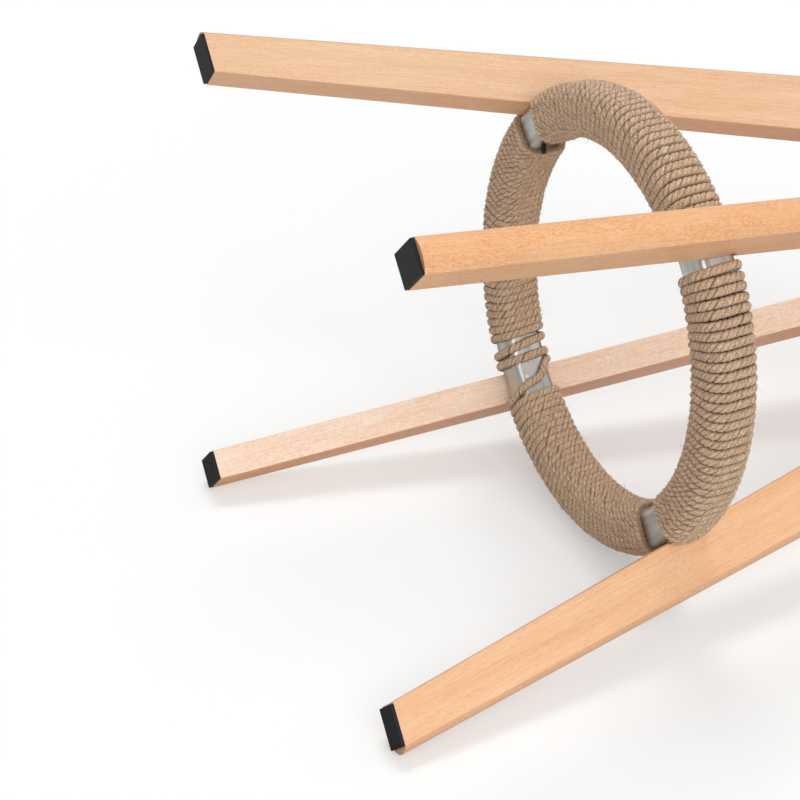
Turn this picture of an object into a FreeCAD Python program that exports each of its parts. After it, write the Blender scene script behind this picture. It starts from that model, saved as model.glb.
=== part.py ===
import FreeCAD, Part
import math
import os
import Sketcher

# Bar stool: four splayed beech legs with a rounded outer face, a square steel tube
# bent to a footrest ring and wound with rope between the legs, and a round seat on
# a steel bracket.  Millimetres, +Z up, origin on the floor under the seat's centre.
# Every leg is drawn along +X and turned about the Z axis to its corner.

Vector = FreeCAD.Vector
Z_AXIS = Vector(0, 0, 1)

doc = FreeCAD.newDocument("bar_stool")

# ---------------------------------------------------------------- dimensions
DIMENSIONS = [
    ("seat_level", 620.0),          # height of the seat's underside and the leg tops
    ("seat_radius", 170.0),
    ("seat_thickness", 28.0),
    ("seat_dish_depth", 5.0),
    ("seat_rim_width", 18.0),
    ("seat_edge_round", 6.0),
    ("leg_width", 24.8),            # across the leg, round the stool
    ("leg_foot_inner", 240.3),      # inner face from the stool's axis, at the floor
    ("leg_foot_outer", 271.3),      # outer corners from the stool's axis, at the floor
    ("leg_inner_angle", 14.07),     # lean of the inner face from upright
    ("leg_outer_angle", 12.18),     # lean of the outer face, less, so the leg thickens
    ("leg_bulge", 5.0),             # how far the rounded outer face stands out
    ("leg_edge_round", 1.2),
    ("pad_thickness", 2.6),
    ("pad_inset", 0.3),
    ("pad_corner_round", 0.8),
    ("ring_radius", 162.5),         # to the middle of the tube
    ("ring_level", 260.0),
    ("tube_side", 30.0),
    ("tube_corner", 5.0),
    ("tube_wall", 1.5),
    ("wrap_thickness", 6.0),
    ("wrap_corner", 15.0),
    ("wrap_fit", 0.05),
    ("notch_fit", 0.05),
    ("ring_pin_level", 252.5),      # where the pins come through the tube's inner wall
    ("ring_pin_proud", 7.5),        # the pin in the rear right leg stands out
    ("ring_pin_flush", 0.4),        # the other three are driven nearly home
    ("ring_pin_length", 60.0),
    ("ring_pin_radius", 1.8),
    ("ring_pin_tube_hole", 2.0),
    ("ring_pin_leg_hole", 1.85),
    ("bolt_radius", 2.95),
    ("bolt_head_radius", 4.0),
    ("bolt_head_height", 5.5),
    ("bolt_socket_radius", 2.3),
    ("bolt_socket_depth", 3.0),
    ("bolt_hole_radius", 3.2),
    ("insert_radius", 4.95),
    ("insert_bore", 3.05),
    ("insert_hole_radius", 5.0),
    ("bracket_thickness", 3.0),
    ("bracket_plate_radius", 72.0),
    ("tab_width", 24.0),
    ("tab_length", 92.0),
    ("tab_bolt_first", 28.0),       # down the inner face from the leg's top
    ("tab_bolt_second", 72.0),
    ("tab_bolt_length", 21.0),
    ("tab_insert_length", 16.0),
    ("washer_radius", 6.0),
    ("washer_thickness", 1.4),
    ("seat_screw_circle", 58.0),
    ("seat_screw_radius", 2.4),
    ("seat_screw_length", 18.0),
    ("seat_screw_head_radius", 4.6),
    ("seat_screw_head_height", 2.8),
    ("seat_screw_hole", 2.7),
]
sheet = doc.addObject("Spreadsheet::Sheet", "Dim")
for row, (alias, number) in enumerate(DIMENSIONS, start=1):
    sheet.set(f"A{row}", alias)
    sheet.set(f"B{row}", str(number))
    sheet.setAlias(f"B{row}", alias)
doc.recompute()

LEGS = {"front_left": 225, "front_right": 315, "rear_right": 45, "rear_left": 135}

# Where each length of rope starts and how far round it goes, in degrees.
WRAPS = {
    "rear": (49.4, 81.2),
    "left": (139.6, 81.0),
    "front": (229.4, 81.2),
    "right": (-33.0, 73.6),
}


def value(expression):
    """Work out an expression on the sheet as a plain number."""
    return float(sheet.evalExpression(expression))


def leg_inner(level):
    """Expression for the inner face's distance from the axis at a height."""
    return f"(Dim.leg_foot_inner - ({level}) * tan(Dim.leg_inner_angle))"


def leg_outer(level):
    """Expression for the outer corners' distance from the axis at a height."""
    return f"(Dim.leg_foot_outer - ({level}) * tan(Dim.leg_outer_angle))"


def turned(azimuth):
    """Placement that turns a piece about the stool's axis."""
    return FreeCAD.Placement(Vector(0, 0, 0), FreeCAD.Rotation(Z_AXIS, azimuth))


# ---------------------------------------------------------------- sketch helpers
def new_body(name):
    body = doc.addObject("PartDesign::Body", name)
    body.Label = name
    return body


def new_sketch(body, name, plane, offset="0"):
    """Sketch on one of the body's origin planes, raised by an expression."""
    sketch = body.newObject("Sketcher::SketchObject", name)
    support = next(f for f in body.Origin.OriginFeatures if f.Role == plane)
    sketch.AttachmentSupport = (support, [""])
    sketch.MapMode = "FlatFace"
    sketch.setExpression("AttachmentOffset.Base.z", offset)
    return sketch


def pin(sketch, edge, end, x, y):
    """Hold a point of the sketch at a place given by two expressions."""
    for kind, expression in (("DistanceX", x), ("DistanceY", y)):
        rule = Sketcher.Constraint(kind, -1, 1, edge, end, value(expression))
        number = sketch.addConstraint(rule)
        sketch.setExpression(f"Constraints[{number}]", expression)


def join_ends(sketch, first, count):
    """Join a closed run of edges end to start."""
    for step in range(count):
        following = first + (step + 1) % count
        sketch.addConstraint(Sketcher.Constraint("Coincident", first + step, 2, following, 1))


def draw_polygon(sketch, corners):
    """Closed outline whose corners are pairs of expressions."""
    points = [Vector(value(x), value(y), 0) for x, y in corners]
    first = sketch.GeometryCount
    for start, end in zip(points, points[1:] + points[:1]):
        sketch.addGeometry(Part.LineSegment(start, end))
    join_ends(sketch, first, len(corners))
    for step, (x, y) in enumerate(corners):
        pin(sketch, first + step, 1, x, y)


def draw_circle(sketch, x, y, radius):
    edge = sketch.addGeometry(Part.Circle(Vector(value(x), value(y), 0), Z_AXIS, value(radius)))
    number = sketch.addConstraint(Sketcher.Constraint("Radius", edge, value(radius)))
    sketch.setExpression(f"Constraints[{number}]", radius)
    pin(sketch, edge, 3, x, y)


def draw_rounded_square(sketch, x, y, half, corner):
    """Square with round corners, centred on (x, y); all four are expressions."""
    first = sketch.GeometryCount
    middle_x, middle_y, reach, round_off = (value(e) for e in (x, y, half, corner))
    flat = reach - round_off
    for quarter in range(4):
        turn = FreeCAD.Rotation(Z_AXIS, 90 * quarter)
        centre = Vector(middle_x, middle_y, 0)
        start = centre + turn.multVec(Vector(reach, -flat, 0))
        end = centre + turn.multVec(Vector(reach, flat, 0))
        arc_centre = centre + turn.multVec(Vector(flat, flat, 0))
        sketch.addGeometry(Part.LineSegment(start, end))
        circle = Part.Circle(arc_centre, Z_AXIS, round_off)
        angle = math.radians(90 * quarter)
        sketch.addGeometry(Part.ArcOfCircle(circle, angle, angle + math.pi / 2))
    join_ends(sketch, first, 8)
    level_half, level_flat = f"({half})", f"(({half}) - ({corner}))"
    ends = [(level_half, "-" + level_flat), (level_half, level_flat)]
    for quarter in range(4):
        side = first + 2 * quarter
        number = sketch.addConstraint(Sketcher.Constraint("Radius", side + 1, round_off))
        sketch.setExpression(f"Constraints[{number}]", corner)
        for end, (across, along) in enumerate(ends, start=1):
            shift_x, shift_y = quarter_turn(across, along, quarter)
            pin(sketch, side, end, f"({x}) + {shift_x}", f"({y}) + {shift_y}")


def quarter_turn(across, along, quarter):
    """Two expressions turned about the origin by a number of quarter turns."""
    for _ in range(quarter):
        across, along = f"-1 * {along}", across
    return f"({across})", f"({along})"


# ---------------------------------------------------------------- solid helpers
def placed_cylinder(name, radius, length, placement):
    """Cylinder along its own +Z whose radius and length follow the sheet."""
    cylinder = doc.addObject("Part::Cylinder", name)
    cylinder.setExpression("Radius", radius)
    cylinder.setExpression("Height", length)
    cylinder.Placement = placement
    return cylinder


def cut_holes(name, base, drills):
    """Take a set of drills out of a piece."""
    tool = doc.addObject("Part::Compound", name + "_drills")
    tool.Links = drills
    cut = doc.addObject("Part::Cut", name)
    cut.Base = base
    cut.Tool = tool
    cut.Label = name
    return cut


def make_group(name, pieces):
    """Identical fasteners kept together as separate solids."""
    group = doc.addObject("Part::Compound", name)
    group.Links = pieces
    group.Label = name
    return group


def axis_placement(origin, direction):
    """Placement that sets a piece's own +Z along a direction."""
    return FreeCAD.Placement(origin, FreeCAD.Rotation(Z_AXIS, direction))


def around_legs(local):
    """The same placement at each of the four legs."""
    return [turned(azimuth).multiply(local) for azimuth in LEGS.values()]


def ring_pin_axis(along):
    """Placement square to the leg, pointing outwards, `along` it from the tube's inner face."""
    lean = math.radians(value("Dim.leg_inner_angle"))
    into = Vector(math.cos(lean), 0, math.sin(lean))
    face = Vector(value("Dim.ring_radius - Dim.tube_side / 2"), 0, value("Dim.ring_pin_level"))
    return axis_placement(face + into * along, into)


def tab_bolt_axis(down, lift):
    """Placement square to the leg's inner face, `down` along it and `lift` into the wood."""
    lean = math.radians(value("Dim.leg_inner_angle"))
    along = Vector(math.sin(lean), 0, -math.cos(lean))
    into = Vector(math.cos(lean), 0, math.sin(lean))
    corner = Vector(value(leg_inner("Dim.seat_level")), 0, value("Dim.seat_level"))
    return axis_placement(corner + along * down + into * lift, into)


NOTCH_FLOOR = "Dim.ring_radius + Dim.tube_side / 2 + Dim.notch_fit"
TAB_BOLTS_DOWN = [value("Dim.tab_bolt_first"), value("Dim.tab_bolt_second")]


def make_bolt(name, length, placement):
    """Socket-head bolt: shank along +Z from the head's bearing face at the origin."""
    shank = placed_cylinder(name + "_shank", "Dim.bolt_radius", length, placement)
    head_start = placement.multiply(FreeCAD.Placement(
        Vector(0, 0, -value("Dim.bolt_head_height")), FreeCAD.Rotation()))
    head = placed_cylinder(name + "_head", "Dim.bolt_head_radius", "Dim.bolt_head_height", head_start)
    socket = doc.addObject("Part::Prism", name + "_socket")
    socket.Polygon = 6
    socket.setExpression("Circumradius", "Dim.bolt_socket_radius")
    socket.setExpression("Height", "Dim.bolt_socket_depth")
    socket.Placement = head_start
    whole = doc.addObject("Part::Fuse", name + "_blank")
    whole.Base = head
    whole.Tool = shank
    bolt = doc.addObject("Part::Cut", name)
    bolt.Base = whole
    bolt.Tool = socket
    return bolt


def make_sleeve(name, outer, inner, length, placement):
    """Round sleeve along +Z: a threaded insert or a washer."""
    sleeve = doc.addObject("Part::Cut", name)
    sleeve.Base = placed_cylinder(name + "_outside", outer, length, placement)
    sleeve.Tool = placed_cylinder(name + "_inside", inner, length, placement)
    return sleeve


# ---------------------------------------------------------------- legs
def draw_leg_section(body, name, level):
    """D-shaped section at a height: flat inside and sides, rounded outside."""
    sketch = new_sketch(body, name, "XY_Plane", level)
    half, eased = "(Dim.leg_width / 2)", "Dim.leg_edge_round"
    near, far = leg_inner(level), leg_outer(level)
    outline = [
        (far, f"-{half}"), (f"{near} + {eased}", f"-{half}"),
        (near, f"-({half} - {eased})"), (near, f"({half} - {eased})"),
        (f"{near} + {eased}", half), (far, half),
    ]
    points = [Vector(value(x), value(y), 0) for x, y in outline]
    side_before, inside, side_after = (
        sketch.addGeometry(Part.LineSegment(points[n], points[n + 1])) for n in (0, 2, 4))
    round_off = value(eased)
    centres = [Vector(points[1].x, points[2].y, 0), Vector(points[4].x, points[3].y, 0)]
    circles = [Part.Circle(centre, Z_AXIS, round_off) for centre in centres]
    corner_before, corner_after = (
        sketch.addGeometry(Part.ArcOfCircle(circle, start, start + math.pi / 2))
        for circle, start in zip(circles, (math.pi, math.pi / 2)))
    crown = Vector(points[0].x + value("Dim.leg_bulge"), 0, 0)
    outside = sketch.addGeometry(Part.Arc(points[0], crown, points[5]))
    joints = [(side_before, 2, corner_before, 2), (corner_before, 1, inside, 1),
              (inside, 2, corner_after, 2), (corner_after, 1, side_after, 1),
              (side_after, 2, outside, 2), (outside, 1, side_before, 1)]
    for joint in joints:
        sketch.addConstraint(Sketcher.Constraint("Coincident", *joint))
    crown_radius = f"({half} ^ 2 + Dim.leg_bulge ^ 2) / (2 * Dim.leg_bulge)"
    for edge, radius in ((corner_before, eased), (corner_after, eased), (outside, crown_radius)):
        number = sketch.addConstraint(Sketcher.Constraint("Radius", edge, value(radius)))
        sketch.setExpression(f"Constraints[{number}]", radius)
    for step, (x, y) in enumerate(outline):
        pin(sketch, (side_before, inside, side_after)[step // 2], step % 2 + 1, x, y)
    return sketch


def make_leg(corner, azimuth):
    name = "leg_" + corner
    body = new_body(name + "_blank")
    foot = draw_leg_section(body, name + "_foot", "Dim.pad_thickness")
    top = draw_leg_section(body, name + "_top", "Dim.seat_level")
    loft = body.newObject("PartDesign::AdditiveLoft", name + "_loft")
    loft.Profile = foot
    loft.Sections = [top]
    loft.Ruled = True
    notch_outline = new_sketch(body, name + "_notch_outline", "XZ_Plane")
    reach = leg_inner("Dim.ring_level") + " - Dim.tube_side"
    half_tube = "(Dim.tube_side / 2 + Dim.notch_fit)"
    draw_polygon(notch_outline, [
        (reach, f"Dim.ring_level - {half_tube}"),
        (NOTCH_FLOOR, f"Dim.ring_level - {half_tube}"),
        (NOTCH_FLOOR, f"Dim.ring_level + {half_tube}"),
        (reach, f"Dim.ring_level + {half_tube}"),
    ])
    notch = body.newObject("PartDesign::Pocket", name + "_notch")
    notch.Profile = notch_outline
    notch.Type = "Length"
    notch.Midplane = True
    notch.setExpression("Length", "Dim.leg_width * 2")
    doc.recompute()
    if notch.Shape.Volume >= loft.Shape.Volume:
        raise RuntimeError(name + ": the notch took nothing away")

    drills = [placed_cylinder(name + "_pin_drill", "Dim.ring_pin_leg_hole",
                              "Dim.ring_pin_length - Dim.ring_pin_flush + 0.5", ring_pin_axis(0))]
    for number, down in enumerate(TAB_BOLTS_DOWN, start=1):
        lift = -value("Dim.tube_side")
        drills.append(placed_cylinder(f"{name}_tab_drill_{number}", "Dim.insert_hole_radius",
                                      "Dim.tab_insert_length + Dim.tube_side",
                                      tab_bolt_axis(down, lift)))
    leg = cut_holes(name, body, drills)
    leg.Placement = turned(azimuth)
    return leg


def make_foot_pad(corner, azimuth):
    name = "foot_pad_" + corner
    body = new_body(name)
    outline = new_sketch(body, name + "_outline", "XY_Plane")
    half = "(Dim.leg_width / 2 - Dim.pad_inset)"
    near = "(Dim.leg_foot_inner + Dim.pad_inset)"
    far = "(Dim.leg_foot_outer - Dim.pad_inset)"
    draw_polygon(outline, [(near, f"-{half}"), (far, f"-{half}"), (far, half), (near, half)])
    slab = body.newObject("PartDesign::Pad", name + "_slab")
    slab.Profile = outline
    slab.setExpression("Length", "Dim.pad_thickness")
    doc.recompute()
    upright = [f"Edge{n}" for n, edge in enumerate(slab.Shape.Edges, start=1)
               if edge.BoundBox.ZLength > value("Dim.pad_thickness") / 2]
    rounded = body.newObject("PartDesign::Fillet", name + "_rounded")
    rounded.Base = (slab, upright)
    rounded.setExpression("Radius", "Dim.pad_corner_round")
    body.Placement = turned(azimuth)
    return body


# ---------------------------------------------------------------- footrest ring
def make_ring():
    body = new_body("footrest_ring_blank")
    section = new_sketch(body, "ring_section", "XZ_Plane")
    draw_rounded_square(section, "Dim.ring_radius", "Dim.ring_level",
                        "(Dim.tube_side / 2)", "Dim.tube_corner")
    draw_rounded_square(section, "Dim.ring_radius", "Dim.ring_level",
                        "(Dim.tube_side / 2 - Dim.tube_wall)", "(Dim.tube_corner - Dim.tube_wall)")
    tube = body.newObject("PartDesign::Revolution", "ring_tube")
    tube.Profile = section
    tube.ReferenceAxis = (section, ["V_Axis"])
    tube.Angle = 360.0
    doc.recompute()
    start = -value("Dim.tube_side") / 2
    drills = [placed_cylinder(f"ring_drill_{n}", "Dim.ring_pin_tube_hole", "Dim.tube_side * 2", place)
              for n, place in enumerate(around_legs(ring_pin_axis(start)), start=1)]
    return cut_holes("footrest_ring", body, drills)


def make_rope_wrap(side, start, sweep):
    """The space that one length of rope fills round the tube."""
    name = "rope_wrap_" + side
    body = new_body(name)
    section = new_sketch(body, name + "_section", "XZ_Plane")
    draw_rounded_square(section, "Dim.ring_radius", "Dim.ring_level",
                        "(Dim.tube_side / 2 + Dim.wrap_thickness)", "Dim.wrap_corner")
    draw_rounded_square(section, "Dim.ring_radius", "Dim.ring_level",
                        "(Dim.tube_side / 2 + Dim.wrap_fit)", "(Dim.tube_corner + Dim.wrap_fit)")
    turn = body.newObject("PartDesign::Revolution", name + "_turn")
    turn.Profile = section
    turn.ReferenceAxis = (section, ["V_Axis"])
    turn.Angle = sweep
    turn.Midplane = True
    body.Placement = turned(start + sweep / 2)
    return body


# ---------------------------------------------------------------- seat and bracket
def make_bracket():
    """Steel plate under the seat with four bent tabs that lie on the legs' inner faces."""
    body = new_body("seat_bracket_blank")
    disc_outline = new_sketch(body, "bracket_disc_outline", "XY_Plane",
                              "Dim.seat_level - Dim.bracket_thickness")
    draw_circle(disc_outline, "0", "0", "Dim.bracket_plate_radius")
    disc = body.newObject("PartDesign::Pad", "bracket_disc")
    disc.Profile = disc_outline
    disc.setExpression("Length", "Dim.bracket_thickness")

    tab_outline = new_sketch(body, "bracket_tab_outline", "XZ_Plane")
    top, under = "Dim.seat_level", "Dim.seat_level - Dim.bracket_thickness"
    low = "Dim.seat_level - Dim.tab_length"
    thick = "Dim.bracket_thickness / cos(Dim.leg_inner_angle)"
    draw_polygon(tab_outline, [
        ("Dim.bracket_plate_radius / 2", top),
        ("Dim.bracket_plate_radius / 2", under),
        (f"{leg_inner(under)} - {thick}", under),
        (f"{leg_inner(low)} - {thick}", low),
        (leg_inner(low), low),
        (leg_inner(top), top),
    ])
    tab = body.newObject("PartDesign::Pad", "bracket_tab")
    tab.Profile = tab_outline
    tab.Midplane = True
    tab.setExpression("Length", "Dim.tab_width")
    doc.recompute()
    pattern = body.newObject("PartDesign::PolarPattern", "bracket_tabs")
    pattern.Originals = [tab]
    pattern.Axis = (disc_outline, ["N_Axis"])
    pattern.Angle = 360.0
    pattern.Occurrences = len(LEGS)
    body.Tip = pattern
    doc.recompute()

    drills = []
    for number, down in enumerate(TAB_BOLTS_DOWN, start=1):
        for quarter in range(len(LEGS)):
            place = turned(90 * quarter).multiply(tab_bolt_axis(down, -value("Dim.tube_side") / 2))
            drills.append(placed_cylinder(f"tab_drill_{number}_{quarter}", "Dim.bolt_hole_radius",
                                          "Dim.tube_side", place))
    for quarter, place in enumerate(seat_screw_places()):
        drills.append(placed_cylinder(f"plate_drill_{quarter}", "Dim.seat_screw_hole",
                                      "Dim.tube_side", place))
    bracket = cut_holes("seat_bracket", body, drills)
    bracket.Placement = turned(45)
    return bracket


def seat_screw_places():
    """Upward placements half-way between the tabs, starting under the plate."""
    below = value("Dim.seat_level - Dim.bracket_thickness")
    reach = Vector(value("Dim.seat_screw_circle"), 0, below)
    return [turned(45 + 90 * quarter).multiply(FreeCAD.Placement(reach, FreeCAD.Rotation()))
            for quarter in range(4)]


def make_seat():
    body = new_body("seat_blank")
    section = new_sketch(body, "seat_section", "XZ_Plane")
    base, rim = "Dim.seat_level", "(Dim.seat_level + Dim.seat_thickness)"
    floor = f"({rim} - Dim.seat_dish_depth)"
    rim_start = "(Dim.seat_radius - Dim.seat_rim_width)"
    dish = f"({rim_start} ^ 2 + Dim.seat_dish_depth ^ 2) / (2 * Dim.seat_dish_depth)"
    corners = [("0", floor), ("0", base), ("Dim.seat_radius", base),
               ("Dim.seat_radius", rim), (rim_start, rim)]
    points = [Vector(value(x), value(y), 0) for x, y in corners]
    for start, end in zip(points, points[1:]):
        section.addGeometry(Part.LineSegment(start, end))
    for edge in range(3):
        section.addConstraint(Sketcher.Constraint("Coincident", edge, 2, edge + 1, 1))
    centre = Vector(0, value(f"{floor} + {dish}"), 0)
    half_angle = math.asin(value(f"{rim_start} / ({dish})"))
    circle = Part.Circle(centre, Z_AXIS, value(dish))
    arc = section.addGeometry(Part.ArcOfCircle(circle, -math.pi / 2, -math.pi / 2 + half_angle))
    section.addConstraint(Sketcher.Constraint("Coincident", arc, 1, 0, 1))
    section.addConstraint(Sketcher.Constraint("Coincident", arc, 2, 3, 2))
    number = section.addConstraint(Sketcher.Constraint("Radius", arc, value(dish)))
    section.setExpression(f"Constraints[{number}]", dish)
    for edge, (x, y) in enumerate(corners[:4]):
        pin(section, edge, 1, x, y)
    pin(section, 3, 2, rim_start, rim)
    board = body.newObject("PartDesign::Revolution", "seat_board")
    board.Profile = section
    board.ReferenceAxis = (section, ["V_Axis"])
    board.Angle = 360.0
    doc.recompute()
    outer_edges = []
    for number, edge in enumerate(board.Shape.Edges, start=1):
        box = edge.BoundBox
        if box.ZLength < 0.01 and box.XLength > value("Dim.seat_radius * 1.99"):
            outer_edges.append(f"Edge{number}")
    rounded = body.newObject("PartDesign::Fillet", "seat_rounded")
    rounded.Base = (board, outer_edges)
    rounded.setExpression("Radius", "Dim.seat_edge_round")
    doc.recompute()
    places = [turned(45).multiply(place) for place in seat_screw_places()]
    drills = [placed_cylinder(f"seat_drill_{n}", "Dim.seat_screw_hole",
                              "Dim.seat_screw_length + 0.5", place)
              for n, place in enumerate(places)]
    return cut_holes("seat", body, drills)


def make_seat_screw(name, placement):
    """Pan-head wood screw pointing up through the plate into the seat."""
    shank = placed_cylinder(name + "_shank", "Dim.seat_screw_radius", "Dim.seat_screw_length", placement)
    below = placement.multiply(FreeCAD.Placement(
        Vector(0, 0, -value("Dim.seat_screw_head_height")), FreeCAD.Rotation()))
    head = doc.addObject("Part::Cone", name + "_head")
    head.setExpression("Radius1", "Dim.seat_screw_head_radius * 0.7")
    head.setExpression("Radius2", "Dim.seat_screw_head_radius")
    head.setExpression("Height", "Dim.seat_screw_head_height")
    head.Placement = below
    screw = doc.addObject("Part::Fuse", name)
    screw.Base = head
    screw.Tool = shank
    return screw


# ---------------------------------------------------------------- assembly
nodes = []
for corner, azimuth in LEGS.items():
    nodes.append(make_leg(corner, azimuth))
    nodes.append(make_foot_pad(corner, azimuth))

nodes.append(make_ring())
for side, (start, sweep) in WRAPS.items():
    nodes.append(make_rope_wrap(side, start, sweep))

ring_pins = []
for corner, azimuth in LEGS.items():
    reach = "Dim.ring_pin_proud" if corner == "rear_right" else "Dim.ring_pin_flush"
    place = turned(azimuth).multiply(ring_pin_axis(-value(reach)))
    ring_pins.append(placed_cylinder("ring_pin_" + corner, "Dim.ring_pin_radius",
                                     "Dim.ring_pin_length", place))
nodes.append(make_group("ring_pins", ring_pins))

tab_face = value("Dim.bracket_thickness")
tab_bolts, tab_washers, tab_inserts = [], [], []
for down in TAB_BOLTS_DOWN:
    washer_lift = -(tab_face + value("Dim.washer_thickness"))
    for place in around_legs(tab_bolt_axis(down, washer_lift)):
        number = len(tab_bolts) + 1
        tab_bolts.append(make_bolt(f"tab_bolt_{number}", "Dim.tab_bolt_length", place))
        tab_washers.append(make_sleeve(f"tab_washer_{number}", "Dim.washer_radius",
                                       "Dim.bolt_hole_radius", "Dim.washer_thickness", place))
    for place in around_legs(tab_bolt_axis(down, 0)):
        number = len(tab_inserts) + 1
        tab_inserts.append(make_sleeve(f"tab_insert_{number}", "Dim.insert_radius",
                                       "Dim.insert_bore", "Dim.tab_insert_length - 0.5", place))
nodes.append(make_group("bracket_bolts", tab_bolts))
nodes.append(make_group("bracket_washers", tab_washers))
nodes.append(make_group("bracket_inserts", tab_inserts))

nodes.append(make_bracket())
nodes.append(make_seat())
nodes.append(make_group("seat_screws", [
    make_seat_screw(f"seat_screw_{n}", turned(45).multiply(place))
    for n, place in enumerate(seat_screw_places(), start=1)]))

doc.recompute()

# ---------------------------------------------------------------- checks and files
for item in doc.Objects:
    if "Invalid" in item.State or "Error" in item.State:
        raise RuntimeError(f"{item.Name} failed: {item.State}")

os.makedirs("parts", exist_ok=True)
for node in nodes:
    if node.Shape.isNull() or not node.Shape.isValid():
        raise RuntimeError(node.Label + " has no valid shape")
    node.Shape.exportStep(f"parts/{node.Label}.step")
    print(f"{node.Label}: {len(node.Shape.Solids)} solid(s), {node.Shape.Volume / 1000:.2f} cm3")
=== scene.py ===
"""Bar stool: splayed beech legs, a steel footrest ring wound with jute rope, black felt feet,
a round beech seat on a steel bracket.  Metres, in the CAD part's own frame, +Z up."""
import math

import bpy
import numpy as np
from mathutils import Matrix, Vector


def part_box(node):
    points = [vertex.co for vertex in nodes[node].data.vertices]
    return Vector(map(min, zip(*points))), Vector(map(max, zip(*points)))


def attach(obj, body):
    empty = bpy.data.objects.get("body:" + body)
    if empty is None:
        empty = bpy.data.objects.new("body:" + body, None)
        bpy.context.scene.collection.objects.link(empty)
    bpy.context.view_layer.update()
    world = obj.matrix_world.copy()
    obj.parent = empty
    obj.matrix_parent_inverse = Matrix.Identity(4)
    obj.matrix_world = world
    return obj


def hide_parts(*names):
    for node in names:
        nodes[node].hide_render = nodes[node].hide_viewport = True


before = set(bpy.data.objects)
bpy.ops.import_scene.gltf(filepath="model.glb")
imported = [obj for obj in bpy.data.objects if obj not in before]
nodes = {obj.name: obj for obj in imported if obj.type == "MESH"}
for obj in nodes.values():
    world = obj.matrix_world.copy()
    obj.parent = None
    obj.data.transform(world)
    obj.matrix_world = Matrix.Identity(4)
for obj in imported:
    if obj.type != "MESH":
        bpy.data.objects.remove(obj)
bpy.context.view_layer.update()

MM = 0.001
LEG_SIDES = ("front_left", "front_right", "rear_right", "rear_left")
LEG_LEAN = 13.1                  # degrees from the vertical, along the leg's middle


# ---------------------------------------------------------------- measures from the frame
ring_low, ring_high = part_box("footrest_ring")
TUBE = ring_high.z - ring_low.z
RING_LEVEL = (ring_high.z + ring_low.z) / 2
RING_RADIUS = ring_high.x - TUBE / 2


def leg_azimuth(side):
    """Direction of a leg from the stool's axis, in radians."""
    low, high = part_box("leg_" + side)
    return math.atan2(low.y + high.y, low.x + high.x)


# ---------------------------------------------------------------- camera
CAMERA_PLACE = Vector((-1.21398, 0.76105, -0.50183))
CAMERA_FORWARD = Vector((0.77562, -0.50740, 0.37544))
CAMERA_UP = Vector((0.47197, 0.86116, 0.18880))
CAMERA_LENS = 94.68              # millimetres, on a sensor of CAMERA_SENSOR
CAMERA_SENSOR = 36.0
CAMERA_NEAREST = 0.05


def make_camera():
    """Camera below the feet and to one side of the stool, turned so that the stool lies."""
    data = bpy.data.cameras.new("camera")
    data.lens = CAMERA_LENS
    data.sensor_width = CAMERA_SENSOR
    data.clip_start = CAMERA_NEAREST
    camera = bpy.data.objects.new("camera", data)
    bpy.context.scene.collection.objects.link(camera)
    forward = CAMERA_FORWARD.normalized()
    right = forward.cross(CAMERA_UP).normalized()
    up = right.cross(forward)
    turn = Matrix((right, up, -forward)).transposed()
    camera.matrix_world = Matrix.Translation(CAMERA_PLACE) @ turn.to_4x4()
    bpy.context.scene.camera = camera


# ---------------------------------------------------------------- node helpers
def new_material(name):
    """New material with only a Principled shader; returns it, its tree and its shader."""
    material = bpy.data.materials.new(name)
    material.use_nodes = True
    tree = material.node_tree
    tree.nodes.clear()
    shader = tree.nodes.new("ShaderNodeBsdfPrincipled")
    output = tree.nodes.new("ShaderNodeOutputMaterial")
    tree.links.new(shader.outputs["BSDF"], output.inputs["Surface"])
    return material, tree, shader


def add(tree, kind, inputs=None, **settings):
    """Add a shader node with its settings, link or set its inputs, and return it."""
    made = tree.nodes.new("ShaderNode" + kind)
    for name, setting in settings.items():
        setattr(made, name, setting)
    for socket, given in (inputs or {}).items():
        if isinstance(given, bpy.types.NodeSocket):
            tree.links.new(given, made.inputs[socket])
        else:
            made.inputs[socket].default_value = given
    return made


def plug(tree, given, shader, socket):
    """Link an output to one of the shader's inputs."""
    tree.links.new(given, shader.inputs[socket])


def noise(tree, vector, scale, detail=3.0, roughness=0.55, **inputs):
    """Noise between about 0.3 and 0.7, with scale features to the metre."""
    return add(tree, "TexNoise", {"Vector": vector, "Scale": scale, "Detail": detail,
                                  "Roughness": roughness, **inputs}).outputs["Fac"]


def stretched(tree, vector, stretch):
    """The coordinates scaled by a different amount along each axis."""
    return add(tree, "VectorMath", {0: vector, 1: stretch}, operation="MULTIPLY").outputs[0]


def remap(tree, given, low, high, to_low=0.0, to_high=1.0):
    """Map the range from low to high onto the range from to_low to to_high, and stop there."""
    return add(tree, "MapRange", {"Value": given, "From Min": low, "From Max": high,
                                  "To Min": to_low, "To Max": to_high}).outputs["Result"]


def mixed(tree, factor, first, second, blend="MIX"):
    """Mix two colours, which may be outputs or triples."""
    made = tree.nodes.new("ShaderNodeMix")
    made.data_type = "RGBA"
    made.blend_type = blend
    for socket, given in ((made.inputs[0], factor), (made.inputs[6], first), (made.inputs[7], second)):
        if isinstance(given, bpy.types.NodeSocket):
            tree.links.new(given, socket)
        else:
            socket.default_value = given if isinstance(given, float) else (*given, 1.0)
    return made.outputs[2]


def maths(tree, operation, first, second=0.0):
    return add(tree, "Math", {0: first, 1: second}, operation=operation).outputs[0]


def bump(tree, height, strength, distance):
    inputs = {"Height": height, "Strength": strength, "Distance": distance}
    return add(tree, "Bump", inputs).outputs["Normal"]


def separated(tree, vector):
    """The X, Y and Z outputs of a vector."""
    return add(tree, "SeparateXYZ", {0: vector}).outputs


def shaded(colour, shares):
    """A colour with each channel multiplied by its share, at most 1."""
    return tuple(min(1.0, channel * share) for channel, share in zip(colour, shares))


def paint(obj, material):
    obj.data.materials.clear()
    obj.data.materials.append(material)


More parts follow.
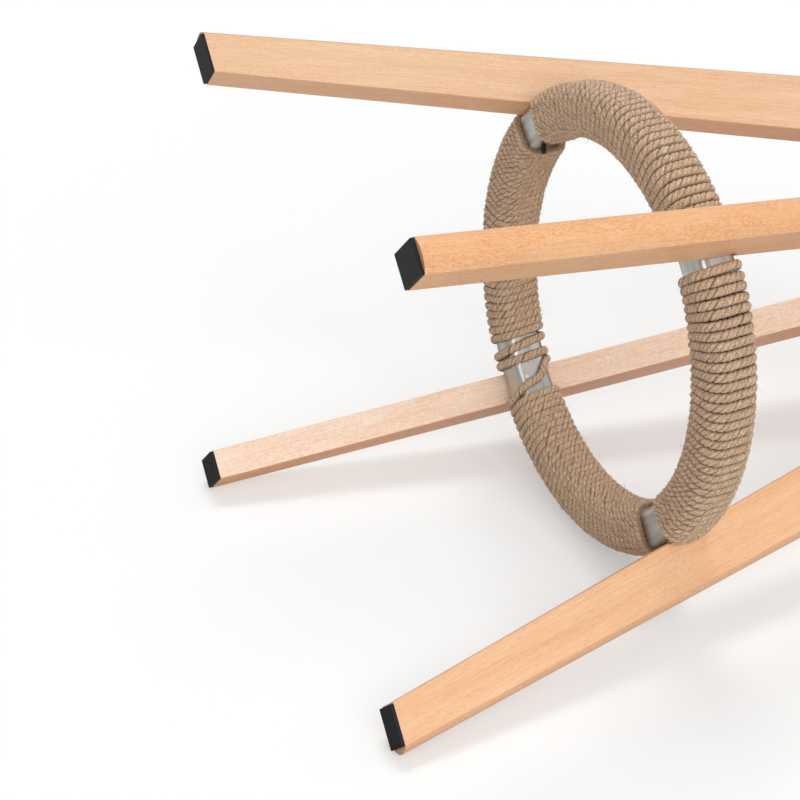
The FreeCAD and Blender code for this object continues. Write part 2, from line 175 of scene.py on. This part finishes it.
# ---------------------------------------------------------------- wood
def beech(name, to_grain, tone, quartered_tone, flecks, seed):
    """Lacquered beech.  to_grain turns the object's axes so that Z runs along the grain and X
    across the growth rings.  tone is the plain faces' colour, the next argument the quartered faces'
    colour, and flecks is the strength of the short dark rays.  On the legs both tones also hold
    painted light and shade: a face is paler or darker as it is turned towards the light or away from it."""
    material, tree, shader = new_material(name)
    place = add(tree, "TexCoord").outputs["Object"]
    turn = to_grain.to_euler("XYZ")
    along = add(tree, "Mapping", {"Vector": place, "Rotation": turn,
                                  "Location": (seed * 0.31, seed * 0.17, seed * 0.53)}).outputs[0]
    facing = add(tree, "Mapping", {"Vector": add(tree, "TexCoord").outputs["Normal"],
                                   "Rotation": turn}, vector_type="NORMAL").outputs[0]
    sides = separated(tree, facing)
    quartered = maths(tree, "ABSOLUTE", sides["X"])
    end_cut = remap(tree, maths(tree, "ABSOLUTE", sides["Z"]), 0.75, 0.9)

    wander = noise(tree, stretched(tree, along, (14, 14, 2.2)), 1.0, 2.0)
    bands = noise(tree, stretched(tree, along, (95, 40, 5.0)), 1.0, 4.0, 0.6, Distortion=0.6)
    streaks = noise(tree, stretched(tree, along, (900, 620, 26)), 1.0, 3.0, 0.7)
    pores = noise(tree, stretched(tree, along, (2600, 2200, 160)), 1.0, 2.0, 0.6)
    dashes = add(tree, "TexVoronoi", {"Vector": stretched(tree, along, (1000, 1000, 260)),
                                      "Scale": 1.0, "Randomness": 1.0}).outputs["Distance"]
    dash_zone = remap(tree, noise(tree, stretched(tree, along, (60, 60, 14)), 1.0, 2.0), 0.38, 0.52)
    dash = maths(tree, "MULTIPLY", remap(tree, dashes, 0.50, 0.30), dash_zone)

    dark = shaded(tone, (0.88, 0.77, 0.66))
    light = shaded(tone, (1.02, 1.05, 1.10))
    colour = mixed(tree, remap(tree, bands, 0.32, 0.68), dark, light)
    colour = mixed(tree, remap(tree, wander, 0.35, 0.65, 0.3, 0.7), colour, tone)

    silver = noise(tree, stretched(tree, along, (420, 150, 560)), 1.0, 3.0, 0.7, Distortion=0.5)
    silver_zone = noise(tree, stretched(tree, along, (70, 70, 22)), 1.0, 3.0, 0.6)
    silver = maths(tree, "MULTIPLY", remap(tree, silver, 0.42, 0.66), remap(tree, silver_zone, 0.3, 0.6))
    quarter_low = shaded(quartered_tone, (0.95, 0.88, 0.82))
    quarter = remap(tree, quartered, 0.55, 0.8, 0.0, 0.85)
    # The quartered faces take the second tone; on the legs it holds painted light and shade as well as
    # the wood's own colour.
    colour = mixed(tree, quarter, colour, mixed(tree, silver, quarter_low, quartered_tone))

    line_tone = (0.89, 0.77, 0.65)
    colour = mixed(tree, remap(tree, streaks, 0.46, 0.62, 0.0, 0.50), colour, line_tone, "MULTIPLY")
    colour = mixed(tree, remap(tree, pores, 0.53, 0.64, 0.0, 0.65), colour, line_tone, "MULTIPLY")
    dash_tone = shaded(tone, (0.88, 0.62, 0.42))
    colour = mixed(tree, maths(tree, "MULTIPLY", dash, flecks), colour, dash_tone)
    end_tone = shaded(tone, (0.50, 0.42, 0.34))
    colour = mixed(tree, end_cut, colour, mixed(tree, pores, end_tone, dark))
    plug(tree, colour, shader, "Base Color")
    plug(tree, remap(tree, streaks, 0.3, 0.7, 0.36, 0.50), shader, "Roughness")
    surface = maths(tree, "ADD", maths(tree, "MULTIPLY", streaks, 0.6),
                    maths(tree, "MULTIPLY", pores, 0.4))
    plug(tree, bump(tree, surface, 0.35, 0.12 * MM), shader, "Normal")
    shader.inputs["Coat Weight"].default_value = 0.12
    shader.inputs["Coat Roughness"].default_value = 0.30
    return material


LEG_WOOD_AND_LIGHT = {  # plain tone, quartered face's tone, strength of the dark flecks; both tones are partly the leg's own wood and partly painted light and shade
    "rear_right": ((0.86, 0.59, 0.38), (0.86, 0.53, 0.33), 0.35),
    "rear_left": ((0.93, 0.57, 0.33), (0.93, 0.56, 0.31), 1.0),
    "front_left": ((0.90, 0.555, 0.325), (0.90, 0.55, 0.34), 0.3),
    "front_right": ((0.86, 0.46, 0.25), (0.95, 0.81, 0.69), 0.3),
}
SEAT_WOOD = ((0.84, 0.55, 0.34), (0.84, 0.55, 0.34), 0.6)


def finish_legs():
    """Each leg has its own grain, along its own lean."""
    lean = Matrix.Rotation(math.radians(LEG_LEAN), 3, "Y")
    for seed, side in enumerate(LEG_SIDES, start=1):
        to_grain = lean @ Matrix.Rotation(-leg_azimuth(side), 3, "Z")
        # Each leg's tones are partly its wood and partly painted light and shade, set leg by leg.
        tone, quartered_tone, flecks = LEG_WOOD_AND_LIGHT[side]
        paint(nodes["leg_" + side], beech("beech_" + side, to_grain, tone, quartered_tone, flecks, seed))


def finish_seat():
    """The seat's grain lies flat."""
    to_grain = Matrix.Rotation(math.radians(90), 3, "Y")
    tone, quartered_tone, flecks = SEAT_WOOD
    paint(nodes["seat"], beech("beech_seat", to_grain, tone, quartered_tone, flecks, 7))


# ---------------------------------------------------------------- metal, felt
WOUND = ((53, 129), (142.6, 219), (231, 308.5), (328.3, 398))   # degrees round the ring
STANDING_PIN = 0.08              # x + y past which only the pin that stands out lies
BLACK_OXIDE = (0.016, 0.017, 0.019)


def brushed_steel():
    """Tube brushed along its length, with soft darker streaks painted in as reflections, and painted
    shade where the rope is wound round it.
    """
    material, tree, shader = new_material("brushed_steel")
    place = add(tree, "TexCoord").outputs["Object"]
    parts = separated(tree, place)
    level = stretched(tree, place, (1, 1, 0))
    reach = add(tree, "VectorMath", {0: level}, operation="LENGTH").outputs["Value"]
    around = maths(tree, "ARCTAN2", parts["Y"], parts["X"])
    unrolled = add(tree, "CombineXYZ", {0: reach, 1: maths(tree, "MULTIPLY", around, 0.02),
                                        2: parts["Z"]}).outputs[0]
    lines = noise(tree, unrolled, 2600.0, 3.0, 0.7)
    cloud = noise(tree, place, 60.0, 3.0)
    colour = mixed(tree, remap(tree, lines, 0.35, 0.65), (0.60, 0.59, 0.57), (0.70, 0.69, 0.67))
    # Painted reflections: soft darker streaks along the tube stand in for the surroundings mirrored in
    # the steel.
    reflection_stripes = remap(tree, noise(tree, unrolled, 95.0, 2.0, 0.5), 0.46, 0.62, 0.0, 0.7)
    colour = mixed(tree, reflection_stripes, colour, (0.38, 0.345, 0.30))
    # Painted shade: the tube is darkened where the rope is wound round it, so that no bright slits show
    # between turns.
    for first, last in WOUND:
        middle, half = math.radians((first + last) / 2), math.radians((last - first) / 2)
        nearness = maths(tree, "COSINE", maths(tree, "SUBTRACT", around, middle))
        painted_rope_shade = remap(tree, nearness, math.cos(half), math.cos(half - 0.008))
        colour = mixed(tree, painted_rope_shade, colour, (0.10, 0.07, 0.05))
    plug(tree, colour, shader, "Base Color")
    plug(tree, remap(tree, cloud, 0.3, 0.7, 0.34, 0.44), shader, "Roughness")
    plug(tree, bump(tree, lines, 0.25, 0.02 * MM), shader, "Normal")
    shader.inputs["Metallic"].default_value = 1.0
    return material


def pin_metal():
    """Blackened pins; three are dressed flush with the tube and bright at the end."""
    material, tree, shader = new_material("pin_steel")
    place = add(tree, "TexCoord").outputs["Object"]
    parts = separated(tree, place)
    cloud = noise(tree, place, 900.0, 4.0, 0.6)
    black = mixed(tree, remap(tree, cloud, 0.35, 0.7), BLACK_OXIDE, (0.031, 0.033, 0.036))
    bright = mixed(tree, remap(tree, cloud, 0.35, 0.7), (0.52, 0.51, 0.49), (0.64, 0.63, 0.61))
    across = maths(tree, "ADD", parts["X"], parts["Y"])
    standing = remap(tree, across, STANDING_PIN, STANDING_PIN + 0.01)
    plug(tree, mixed(tree, standing, bright, black), shader, "Base Color")
    plug(tree, remap(tree, cloud, 0.3, 0.7, 0.36, 0.50), shader, "Roughness")
    plug(tree, bump(tree, cloud, 0.3, 0.05 * MM), shader, "Normal")
    plug(tree, remap(tree, standing, 0.0, 1.0, 1.0, 0.6), shader, "Metallic")
    return material


def coated_metal(name, colour, grain, roughness, metallic=0.0):
    """Powder coat, black oxide or plating, with grain features to the metre."""
    material, tree, shader = new_material(name)
    place = add(tree, "TexCoord").outputs["Object"]
    cloud = noise(tree, place, grain, 4.0, 0.6)
    lift = tuple(channel * 1.7 + 0.004 for channel in colour)
    plug(tree, mixed(tree, remap(tree, cloud, 0.35, 0.7), colour, lift), shader, "Base Color")
    plug(tree, remap(tree, cloud, 0.3, 0.7, roughness, roughness + 0.15), shader, "Roughness")
    plug(tree, bump(tree, cloud, 0.3, 0.05 * MM), shader, "Normal")
    shader.inputs["Metallic"].default_value = metallic
    return material


def felt():
    """Dense black felt: short matted fibres."""
    material, tree, shader = new_material("black_felt")
    place = add(tree, "TexCoord").outputs["Object"]
    fibres = noise(tree, place, 1500.0, 4.0, 0.75)
    cloud = noise(tree, place, 160.0, 3.0)
    colour = mixed(tree, remap(tree, fibres, 0.35, 0.7), (0.006, 0.007, 0.008), (0.017, 0.019, 0.020))
    colour = mixed(tree, remap(tree, cloud, 0.45, 0.7, 0.0, 0.4), colour, (0.022, 0.024, 0.026))
    plug(tree, colour, shader, "Base Color")
    plug(tree, remap(tree, fibres, 0.3, 0.7, 0.85, 0.98), shader, "Roughness")
    plug(tree, bump(tree, fibres, 0.6, 0.12 * MM), shader, "Normal")
    shader.inputs["Sheen Weight"].default_value = 0.03
    return material


def finish_metal_and_felt():
    """Ring, pins, bracket, fasteners and foot pads."""
    black = coated_metal("black_oxide", BLACK_OXIDE, 900.0, 0.38, 0.6)
    coat = coated_metal("powder_coat", (0.020, 0.020, 0.021), 1600.0, 0.45)
    brass = coated_metal("plain_insert", (0.52, 0.40, 0.20), 700.0, 0.30, 1.0)
    pad = felt()
    paint(nodes["footrest_ring"], brushed_steel())
    paint(nodes["ring_pins"], pin_metal())
    paint(nodes["seat_bracket"], coat)
    paint(nodes["bracket_inserts"], brass)
    for name in ("bracket_bolts", "bracket_washers", "seat_screws"):
        paint(nodes[name], black)
    for side in LEG_SIDES:
        paint(nodes["foot_pad_" + side], pad)


# ---------------------------------------------------------------- rope
ROPE_RADIUS = 2.45 * MM          # from the tube to the middle of the slightly flattened rope
FLATTENED = 0.8                  # the rope's thickness, as a share of its width
TUBE_CORNER = 5.0 * MM
CORNER_EASE = 3.5 * MM           # the rope takes the tube's corners wider than they are
STRANDS = 3
LAY = 12.6 * MM                  # length of rope in which a strand goes once round
STRAND_RADIUS = 1.98 * MM
STRAND_OFFSET = 1.78 * MM        # from the rope's middle to each strand's middle
TURN_ANGLE = 2.39                # degrees round the ring from one turn to the next
STEP = 1.32 * MM                 # along the rope, from one ring of mesh points to the next
SIDES = 9                        # of each strand's mesh
UV_SCALE = 0.01 / MM             # texture lengths to the metre


def square_turn(share):
    """Rounded-square path of the rope round the tube, for shares of a turn from 0 to 1: outwards
    offset, upwards offset, and the same two parts of the direction away from the tube.  It starts
    at the middle of the outer face and goes down to the foot side first."""
    half = TUBE / 2 + ROPE_RADIUS
    corner = TUBE_CORNER + CORNER_EASE + ROPE_RADIUS
    flat = half - corner
    quarter = 2 * flat + corner * math.pi / 2
    length = np.asarray(share) % 1.0 * 4 * quarter
    length = length + flat                       # measured from the upper end of the outer face
    face = np.floor(length / quarter).astype(int)
    along = length - face * quarter
    on_flat = along < 2 * flat
    angle = np.clip((along - 2 * flat) / corner, 0, None)
    out = np.where(on_flat, half, flat + corner * np.cos(angle))
    down = np.where(on_flat, along - flat, flat + corner * np.sin(angle))
    away_out = np.where(on_flat, 1.0, np.cos(angle))
    away_down = np.where(on_flat, 0.0, np.sin(angle))
    turn = face * math.pi / 2
    cos, sin = np.cos(turn), np.sin(turn)
    offset_out = out * cos - down * sin
    offset_down = out * sin + down * cos
    normal_out = away_out * cos - away_down * sin
    normal_down = away_out * sin + away_down * cos
    return offset_out, -offset_down, normal_out, -normal_down, 4 * quarter


def smooth_random(rng, turns, spacing, count):
    """Random curve over the turns, one value every `spacing` turns, joined smoothly."""
    knots = rng.normal(0.0, 1.0, int(turns[-1] / spacing) + 4)
    place = (turns - turns[0]) / spacing
    first = np.floor(place).astype(int)
    part = place - first
    ease = part * part * (3 - 2 * part)
    return knots[first] * (1 - ease) + knots[first + 1] * ease


def rope_line(start, end, seed, first_share, last_share, extra):
    """Centreline of one length of rope wound round the ring, and the direction away from the tube.
    extra gives more degrees round the ring for the turns counted from each end."""
    rng = np.random.default_rng(seed)
    whole_turns = round((end - start) / TURN_ANGLE)
    angle_step = (end - start) / whole_turns
    perimeter = square_turn(0.0)[4]
    count = int((whole_turns + last_share - first_share) * perimeter / STEP)
    turns = np.linspace(first_share, whole_turns + last_share, count)
    skew = np.sin(4 * math.pi * turns) / (4 * math.pi) - 0.8 * np.sin(2 * math.pi * turns) / (2 * math.pi)
    degrees = start + angle_step * (turns + skew)
    degrees += 0.05 * smooth_random(rng, turns, 0.37, count)
    degrees += np.interp(turns, *extra(whole_turns))
    degrees = np.convolve(np.pad(degrees, 3, "reflect", reflect_type="odd"), np.full(7, 1 / 7), "valid")
    azimuth = np.radians(degrees)
    out, up, away_out, away_up, _ = square_turn(turns)
    lift = 0.16 * MM * np.abs(smooth_random(rng, turns, 0.23, count))
    radius = RING_RADIUS + out + away_out * lift
    height = RING_LEVEL + up + away_up * lift
    outward = np.stack([np.cos(azimuth), np.sin(azimuth), np.zeros(count)], 1)
    upward = np.array([0.0, 0.0, 1.0])
    line = outward * radius[:, None] + upward * height[:, None]
    away = outward * away_out[:, None] + upward * away_up[:, None]
    return line, away


def unit(vectors):
    return vectors / np.linalg.norm(vectors, axis=1, keepdims=True)


def tube_mesh(line, away, radii, sides, squash=1.0):
    """Points and faces of a closed tube along a line, with its seam on the side turned inwards."""
    along = unit(np.gradient(line, axis=0))
    first = unit(away - along * (away * along).sum(1, keepdims=True))
    second = np.cross(along, first)
    angles = math.pi + np.arange(sides) * 2 * math.pi / sides
    ring = (first[:, None] * (np.cos(angles) * squash)[None, :, None]
            + second[:, None] * np.sin(angles)[None, :, None])
    points = (line[:, None] + ring * radii[:, None, None]).reshape(-1, 3)
    rows = np.arange(len(line) - 1)[:, None] * sides
    step = np.arange(sides)[None, :]
    after = (step + 1) % sides
    faces = np.stack([rows + step, rows + after, rows + sides + after, rows + sides + step], -1)
    return points, faces.reshape(-1, 4)


def strand_pieces(line, away, seed):
    """The strands laid together in one rope: points, faces, (round, along) coordinates, and how
    near each corner of a face is to the next turn, from 0 to 1."""
    rng = np.random.default_rng(seed)
    along = unit(np.gradient(line, axis=0))
    side = np.cross(along, away)
    steps = np.linalg.norm(np.diff(line, axis=0), axis=1)
    length = np.concatenate([[0.0], np.cumsum(steps)])
    points, faces, coordinates, gaps = [], [], [], []
    offset = 0
    for strand in range(STRANDS):
        phase = -2 * math.pi * (length / LAY - strand / STRANDS) + rng.normal(0, 0.05)
        phase += 0.18 * smooth_random(rng, length / (9 * MM), 1.0, len(length))
        outwards = away * np.cos(phase)[:, None] + side * np.sin(phase)[:, None]
        flat_way = away * (np.cos(phase) * FLATTENED)[:, None] + side * np.sin(phase)[:, None]
        middle = line + flat_way * STRAND_OFFSET
        radii = STRAND_RADIUS * (1 + 0.045 * smooth_random(rng, length / (5 * MM), 1.0, len(length)))
        ends = np.minimum(length, length[-1] - length) / (2.5 * MM)
        radii = radii * np.clip(0.35 + 0.65 * ends, 0.0, 1.0)
        made, quads = tube_mesh(middle, outwards, radii, SIDES)
        corner_round = np.tile(np.array([0, 1, 1, 0]), (len(quads), 1)) + np.tile(
            np.arange(SIDES), len(line) - 1)[:, None]
        row = np.repeat(np.arange(len(line) - 1), SIDES)
        corner_row = row[:, None] + np.array([0, 0, 1, 1])[None, :]
        uv = np.stack([corner_round / SIDES * 2 * math.pi * STRAND_RADIUS * UV_SCALE,
                       length[corner_row] * UV_SCALE + strand * 7.3], -1)
        sideways = ((made.reshape(-1, SIDES, 3) - line[:, None]) * side[:, None]).sum(2)
        gap = np.abs(sideways).reshape(-1)[quads.reshape(-1)] / (STRAND_OFFSET + STRAND_RADIUS)
        caps = [tuple(offset + np.arange(SIDES)[::-1]),
                tuple(offset + (len(line) - 1) * SIDES + np.arange(SIDES))]
        points.append(made)
        faces.append((quads + offset, caps))
        coordinates.append(uv.reshape(-1, 2))
        gaps.append(np.stack([gap, gap], -1))
        offset += len(made)
    return points, faces, coordinates, gaps


def build_mesh(name, points, quads, caps, layers=()):
    """Smooth mesh object with four-sided faces, then end caps, and the given UV layers."""
    mesh = bpy.data.meshes.new(name)
    polygons = [tuple(q) for q in quads.tolist()] + [tuple(int(v) for v in cap) for cap in caps]
    mesh.from_pydata(points.tolist(), [], polygons)
    for layer_name, uv in layers:
        layer = mesh.uv_layers.new(name=layer_name)
        padded = np.zeros((len(mesh.loops), 2))
        padded[:len(uv)] = uv
        layer.data.foreach_set("uv", padded.ravel())
    mesh.shade_smooth()
    mesh.update()
    obj = bpy.data.objects.new(name, mesh)
    bpy.context.scene.collection.objects.link(obj)
    return obj


def jute_hair():
    """Single jute fibres: pale straw with darker lengths."""
    material, tree, shader = new_material("jute_hair")
    cloud = noise(tree, add(tree, "TexCoord").outputs["Object"], 500.0, 2.0)
    colour = mixed(tree, remap(tree, cloud, 0.35, 0.65), (0.36, 0.24, 0.15), (0.72, 0.58, 0.42))
    plug(tree, colour, shader, "Base Color")
    plug(tree, remap(tree, cloud, 0.3, 0.7, 0.55, 0.75), shader, "Roughness")
    return material


def jute():
    """Jute: fine fibres laid along each strand's twist, from pale straw to brown, with painted shade in
    the grooves between strands and in the gaps between turns."""
    material, tree, shader = new_material("jute_rope")
    uv = add(tree, "UVMap", uv_map="strand").outputs["UV"]
    laid = add(tree, "Mapping", {"Vector": uv, "Rotation": (0.0, 0.0, math.radians(-32))}).outputs[0]
    fine = noise(tree, stretched(tree, laid, (620, 38, 1)), 1.0, 3.0, 0.7)
    yarn = noise(tree, stretched(tree, laid, (170, 16, 1)), 1.0, 2.0, 0.6)
    place = add(tree, "TexCoord").outputs["Object"]
    patch = noise(tree, place, 240.0, 3.0, 0.6)
    # Painted shade: darker away from each strand's crown, in the grooves between strands.
    half_way = math.pi * STRAND_RADIUS * UV_SCALE
    from_crown = maths(tree, "ABSOLUTE", maths(tree, "SUBTRACT", separated(tree, uv)["X"], half_way))
    groove_shade = remap(tree, from_crown, half_way * 0.25, half_way * 0.60)
    # Painted shade: darker towards the gap between one turn and the next, on top of the shade that the
    # geometry gives.
    sideways = separated(tree, add(tree, "UVMap", uv_map="turn_gap").outputs["UV"])["X"]
    turn_gap = remap(tree, sideways, 0.62, 0.92, 0.0, 0.62)
    speck = noise(tree, place, 1100.0, 3.0, 0.7)
    colour = mixed(tree, remap(tree, yarn, 0.36, 0.64), (0.36, 0.205, 0.115), (0.84, 0.60, 0.40))
    colour = mixed(tree, remap(tree, fine, 0.50, 0.68, 0.0, 0.85), colour, (0.95, 0.77, 0.56))
    colour = mixed(tree, remap(tree, fine, 0.46, 0.30, 0.0, 0.75), colour, (0.15, 0.085, 0.05))
    colour = mixed(tree, remap(tree, speck, 0.52, 0.68, 0.0, 0.8), colour, (0.95, 0.77, 0.58))
    colour = mixed(tree, remap(tree, speck, 0.47, 0.33, 0.0, 0.8), colour, (0.17, 0.10, 0.06))
    colour = mixed(tree, remap(tree, patch, 0.35, 0.65, 0.0, 0.35), colour, (0.50, 0.32, 0.20))
    # Painted shade in the grooves between strands, then in the gaps between turns.
    colour = mixed(tree, maths(tree, "MULTIPLY", groove_shade, 0.92), colour, (0.11, 0.055, 0.028))
    colour = mixed(tree, turn_gap, colour, (0.15, 0.08, 0.042))
    plug(tree, colour, shader, "Base Color")
    plug(tree, remap(tree, fine, 0.3, 0.7, 0.70, 0.92), shader, "Roughness")
    height = maths(tree, "ADD", maths(tree, "MULTIPLY", fine, 0.45), yarn)
    plug(tree, bump(tree, height, 0.9, 0.30 * MM), shader, "Normal")
    shader.inputs["Sheen Weight"].default_value = 0.15
    shader.inputs["Specular IOR Level"].default_value = 0.25
    return material


# Each of the next four functions gives turns, and the degrees that the rope is moved round the
# ring there from its even course.  whole is the number of whole turns.
def no_extra(whole):
    """The rope keeps its even course."""
    return (0.0, whole), (0.0, 0.0)


def slanted_start(whole):
    """The first turn lies more slanted on the outer face than the rest."""
    return (0.5, 0.9, 1.15), (-0.25, -0.25, 0.0)


def loose_start(whole):
    """The first two turns stand apart from the rest, which begins at the third."""
    return ((-0.25, 0.0, 0.25, 0.42, 0.75, 1.0, 1.25, 1.41, 1.6, 1.75, 2.0, 2.25),
            (-3.4, -3.3, -3.2, -3.5, -3.3, -3.0, -2.7, -1.8, -1.1, -1.0, -0.5, 0.0))


def diagonal_end(whole):
    """The last turn crosses the inner face on a slant and runs up along its far corner."""
    shares = np.array((0.22, 0.30, 0.406, 0.4425, 0.4925, 0.528, 0.559, 0.575, 0.60, 0.75))
    return whole + shares, (0.0, 0.3, 1.9, 2.5, 2.7, 3.1, 4.4, 6.3, 8.1, 8.4)


ROPES = {  # azimuth of the first and last turn, seed, shares of a turn at the ends, how the ends run
    "rear": (51.8, 129.8, 11, 0.05, 0.30, no_extra),
    "left": (139.5, 220.2, 12, 0.55, 0.12, slanted_start),
    "front": (229.2, 309.5, 13, 0.55, 0.74, diagonal_end),
    "right": (323.93, 399.4, 14, -0.24, 0.60, loose_start),
}
FIBRES_PER_METRE = 130
TUFT_FIBRES = 160


def stray_fibres(line, away, seed):
    """Points and faces of short hair-thin fibres standing out of a length of rope."""
    rng = np.random.default_rng(seed)
    length = np.linalg.norm(np.diff(line, axis=0), axis=1).sum()
    along = unit(np.gradient(line, axis=0))
    side = np.cross(along, away)
    points, faces = [], []
    offset = 0
    part = np.linspace(0.0, 1.0, 7)[:, None]
    for _ in range(int(length * FIBRES_PER_METRE)):
        n = rng.integers(2, len(line) - 2)
        turn = rng.normal(0.0, 0.9)
        out = away[n] * math.cos(turn) + side[n] * math.sin(turn)
        lay = along[n] * rng.choice((-1, 1)) + side[n] * rng.normal(0, 0.5)
        reach = rng.gamma(2.2, 1.5 * MM)
        rise = rng.uniform(0.15, 0.8)
        curl = rng.normal(0, 0.35)
        start = line[n] + out * (STRAND_OFFSET + STRAND_RADIUS) * 0.93
        hair = start + reach * (lay * part + out * rise * part ** 1.5 + side[n] * curl * part ** 2)
        radii = np.interp(part[:, 0], (0, 1), (0.10, 0.05)) * MM
        made, quads = tube_mesh(hair, np.tile(out, (len(hair), 1)), radii, 3)
        points.append(made)
        faces.append(quads + offset)
        offset += len(made)
    return np.concatenate(points), np.concatenate(faces)


def frayed_tuft(line, away, seed):
    """Fibres spread out like a brush past the first end of a rope."""
    rng = np.random.default_rng(seed)
    back = unit(line[:1] - line[2:3])[0]
    side = np.cross(back, away[0])
    points, faces = [], []
    offset = 0
    part = np.linspace(0.0, 1.0, 6)[:, None]
    for _ in range(TUFT_FIBRES):
        spread = away[0] * rng.normal(0, 1) + side * rng.normal(0, 1)
        start = line[0] + spread * 1.1 * MM - back * 1.5 * MM
        reach = rng.uniform(2.5, 6.5) * MM
        hair = start + back * reach * part + spread * reach * 0.22 * part ** 1.6
        radii = np.interp(part[:, 0], (0, 1), (0.13, 0.05)) * MM
        made, quads = tube_mesh(hair, np.tile(away[0], (len(hair), 1)), radii, 3)
        points.append(made)
        faces.append(quads + offset)
        offset += len(made)
    return np.concatenate(points), np.concatenate(faces)


def make_ropes():
    """The four lengths of rope, as laid strands wound turn by turn, and their loose fibres."""
    material = jute()
    hair_material = jute_hair()
    for side, (start, end, seed, first, last, extra) in ROPES.items():
        line, away = rope_line(start, end, seed, first, last, extra)
        points, faces, uv, gaps = strand_pieces(line, away, seed + 100)
        quads = np.concatenate([f[0] for f in faces])
        caps = [cap for f in faces for cap in f[1]]
        layers = (("strand", np.concatenate(uv)), ("turn_gap", np.concatenate(gaps)))
        rope = build_mesh("rope_" + side, np.concatenate(points), quads, caps, layers)
        paint(rope, material)
        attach(rope, "root")
        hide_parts("rope_wrap_" + side)
        hair_points, hair_quads = stray_fibres(line, away, seed + 200)
        tuft_points, tuft_quads = frayed_tuft(line, away, seed + 300)
        hairs = build_mesh("fibres_" + side, np.concatenate((hair_points, tuft_points)),
                           np.concatenate((hair_quads, tuft_quads + len(hair_points))), [])
        paint(hairs, hair_material)
        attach(hairs, "root")
        metres = np.linalg.norm(np.diff(line, axis=0), axis=1).sum()
        print(f"rope_{side}: {metres:.2f} m of rope")


# ---------------------------------------------------------------- stage and light
STAGE_REACH = 6.0
FLOOR_DEPTH = -0.2006            # the floor that the lying stool rests on, below its side
FLOOR_SLOPE = 0.04
SIDE_LOOK = (0.365, 0.62)        # glow and white of the floor beside the stool
GROUND_LOOK = (0.55, 0.42)       # glow and white of the floor under its feet
GLOW_ON_OBJECT = 0.12            # share of the glow that lights the stool
WORLD_SEEN = 0.93
WORLD_LIGHT = 0.50
SUNS = {  # direction it comes from, strength, spread in degrees
    "key": ((0.35, 0.85, 0.12), 0.95, 22),
    "fill": ((-0.8, 0.55, -0.1), 1.5, 50),
}


def stage_material(name, glow, white):
    """Pale floor, seen only from its own side, so that it never hides the stool."""
    material = bpy.data.materials.new(name)
    material.use_nodes = True
    tree = material.node_tree
    tree.nodes.clear()
    place = add(tree, "TexCoord").outputs["Object"]
    cloud = remap(tree, noise(tree, place, 3.0, 2.0), 0.3, 0.7, white - 0.004, white + 0.004)
    less_red = maths(tree, "MULTIPLY", cloud, 0.99)
    colour = add(tree, "CombineColor", {0: less_red, 1: cloud, 2: cloud}).outputs[0]
    diffuse = add(tree, "BsdfDiffuse", {"Color": colour}).outputs[0]
    seen = add(tree, "LightPath").outputs["Is Camera Ray"]
    strength = maths(tree, "MULTIPLY", remap(tree, seen, 0.0, 1.0, GLOW_ON_OBJECT, 1.0), glow)
    light = add(tree, "Emission", {"Color": (1, 1, 1, 1), "Strength": strength}).outputs[0]
    front = add(tree, "AddShader", {0: diffuse, 1: light}).outputs[0]
    back = add(tree, "BsdfTransparent").outputs[0]
    side = add(tree, "NewGeometry").outputs["Backfacing"]
    mix = add(tree, "MixShader", {0: side, 1: front, 2: back}).outputs[0]
    add(tree, "OutputMaterial", {"Surface": mix})
    return material


def make_plane(name, origin, first, second, reach, material):
    """Square sheet whose front is the side that first x second points to."""
    first, second = Vector(first).normalized(), Vector(second).normalized()
    corners = [Vector(origin) + first * a * reach + second * b * reach
               for a, b in ((-1, -1), (1, -1), (1, 1), (-1, 1))]
    mesh = bpy.data.meshes.new(name)
    mesh.from_pydata([tuple(c) for c in corners], [], [(0, 1, 2, 3)])
    plane = bpy.data.objects.new(name, mesh)
    bpy.context.scene.collection.objects.link(plane)
    paint(plane, material)
    return plane


def make_stage():
    """A floor beside the stool, which the lying stool rests on, and one under its feet, which
    only the camera sees."""
    make_plane("stage_side_floor", (0, FLOOR_DEPTH, 0), (0, FLOOR_SLOPE, 1), (1, 0, 0),
               STAGE_REACH, stage_material("stage_side", *SIDE_LOOK))
    floor = make_plane("stage_floor", (0, 0, 0), (1, 0, 0), (0, 1, 0),
                       STAGE_REACH * 3, stage_material("stage_ground", *GROUND_LOOK))
    floor.visible_shadow = False
    floor.visible_diffuse = False
    floor.visible_glossy = False
    floor.visible_transmission = False


def make_sun(name, direction, strength, spread):
    """Soft light from a direction."""
    data = bpy.data.lights.new(name, "SUN")
    data.energy = strength
    data.angle = math.radians(spread)
    sun = bpy.data.objects.new(name, data)
    bpy.context.scene.collection.objects.link(sun)
    sun.rotation_mode = "QUATERNION"
    sun.rotation_quaternion = Vector(direction).to_track_quat("Z", "Y")


def make_world():
    """White surroundings, brighter to the camera than as light."""
    world = bpy.data.worlds.new("studio")
    bpy.context.scene.world = world
    world.use_nodes = True
    tree = world.node_tree
    tree.nodes.clear()
    seen = add(tree, "Background", {"Color": (1, 1, 1, 1), "Strength": WORLD_SEEN})
    lit = add(tree, "Background", {"Color": (1, 1, 1, 1), "Strength": WORLD_LIGHT})
    to_camera = add(tree, "LightPath").outputs["Is Camera Ray"]
    mix = add(tree, "MixShader", {0: to_camera, 1: lit.outputs[0], 2: seen.outputs[0]})
    add(tree, "OutputWorld", {"Surface": mix.outputs[0]})


def main():
    make_camera()
    finish_legs()
    finish_seat()
    finish_metal_and_felt()
    make_ropes()
    make_stage()
    make_world()
    for name, (direction, strength, spread) in SUNS.items():
        make_sun(name, direction, strength, spread)
    bpy.context.scene.view_settings.view_transform = "Standard"


main()
